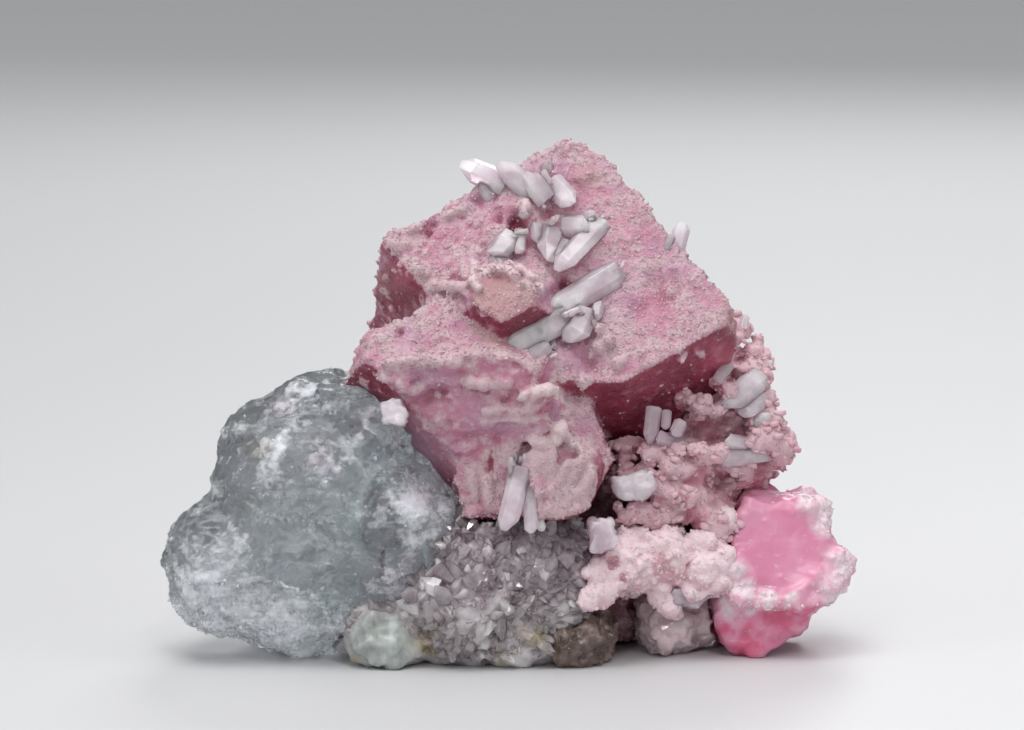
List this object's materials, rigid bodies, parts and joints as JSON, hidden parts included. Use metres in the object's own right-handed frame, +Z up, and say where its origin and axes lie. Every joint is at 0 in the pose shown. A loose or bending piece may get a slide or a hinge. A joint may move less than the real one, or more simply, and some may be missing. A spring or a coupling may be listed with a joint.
{
  "type": "rhodochrosite mineral specimen",
  "caption": "Free-standing mineral specimen: pink rhodochrosite rhombs on pink matrix with pale green fluorite, drusy quartz and quartz points.",
  "frame": {"origin": "middle of the bounding box's bottom, on the surface that the specimen stands on", "axes": "+X along the specimen's width, to the right as seen from the front; +Y from the front to the back; +Z up"},
  "size_m": [0.0802, 0.0358, 0.0597],
  "materials": {
    "crusted_rhodochrosite": "matt, sugary",
    "clean_rhodochrosite": "glossy, translucent",
    "pink_matrix": "rough, granular",
    "white_crust": "rough, granular",
    "pale_green_fluorite": "frosted, translucent",
    "drusy_quartz": "sparkling, translucent",
    "smoky_quartz": "glossy, translucent",
    "milky_quartz": "glossy, milky"
  },
  "bodies": {
    "root": {"rhodochrosite_cluster": "crusted_rhodochrosite", "rhodochrosite_gem_lobe": "clean_rhodochrosite", "pink_matrix": "pink_matrix", "white_crust_block": "white_crust", "fluorite_mass": "pale_green_fluorite", "drusy_quartz_base": "drusy_quartz", "smoky_quartz_foot": "smoky_quartz", "clear_quartz_foot": "drusy_quartz", "crest_quartz": "milky_quartz", "upper_face_quartz": "milky_quartz", "left_face_quartz": "milky_quartz", "lying_quartz": "milky_quartz", "small_crest_quartz": "milky_quartz", "edge_quartz": "milky_quartz", "hanging_quartz": "milky_quartz", "cave_quartz": "milky_quartz", "ledge_quartz": "milky_quartz", "side_quartz": "milky_quartz", "shoulder_quartz": "milky_quartz", "upper_milky_plate": "milky_quartz", "lower_milky_plate": "milky_quartz", "foot_milky_plate": "milky_quartz", "junction_milky_quartz": "milky_quartz"}
  },
  "joints": []
}
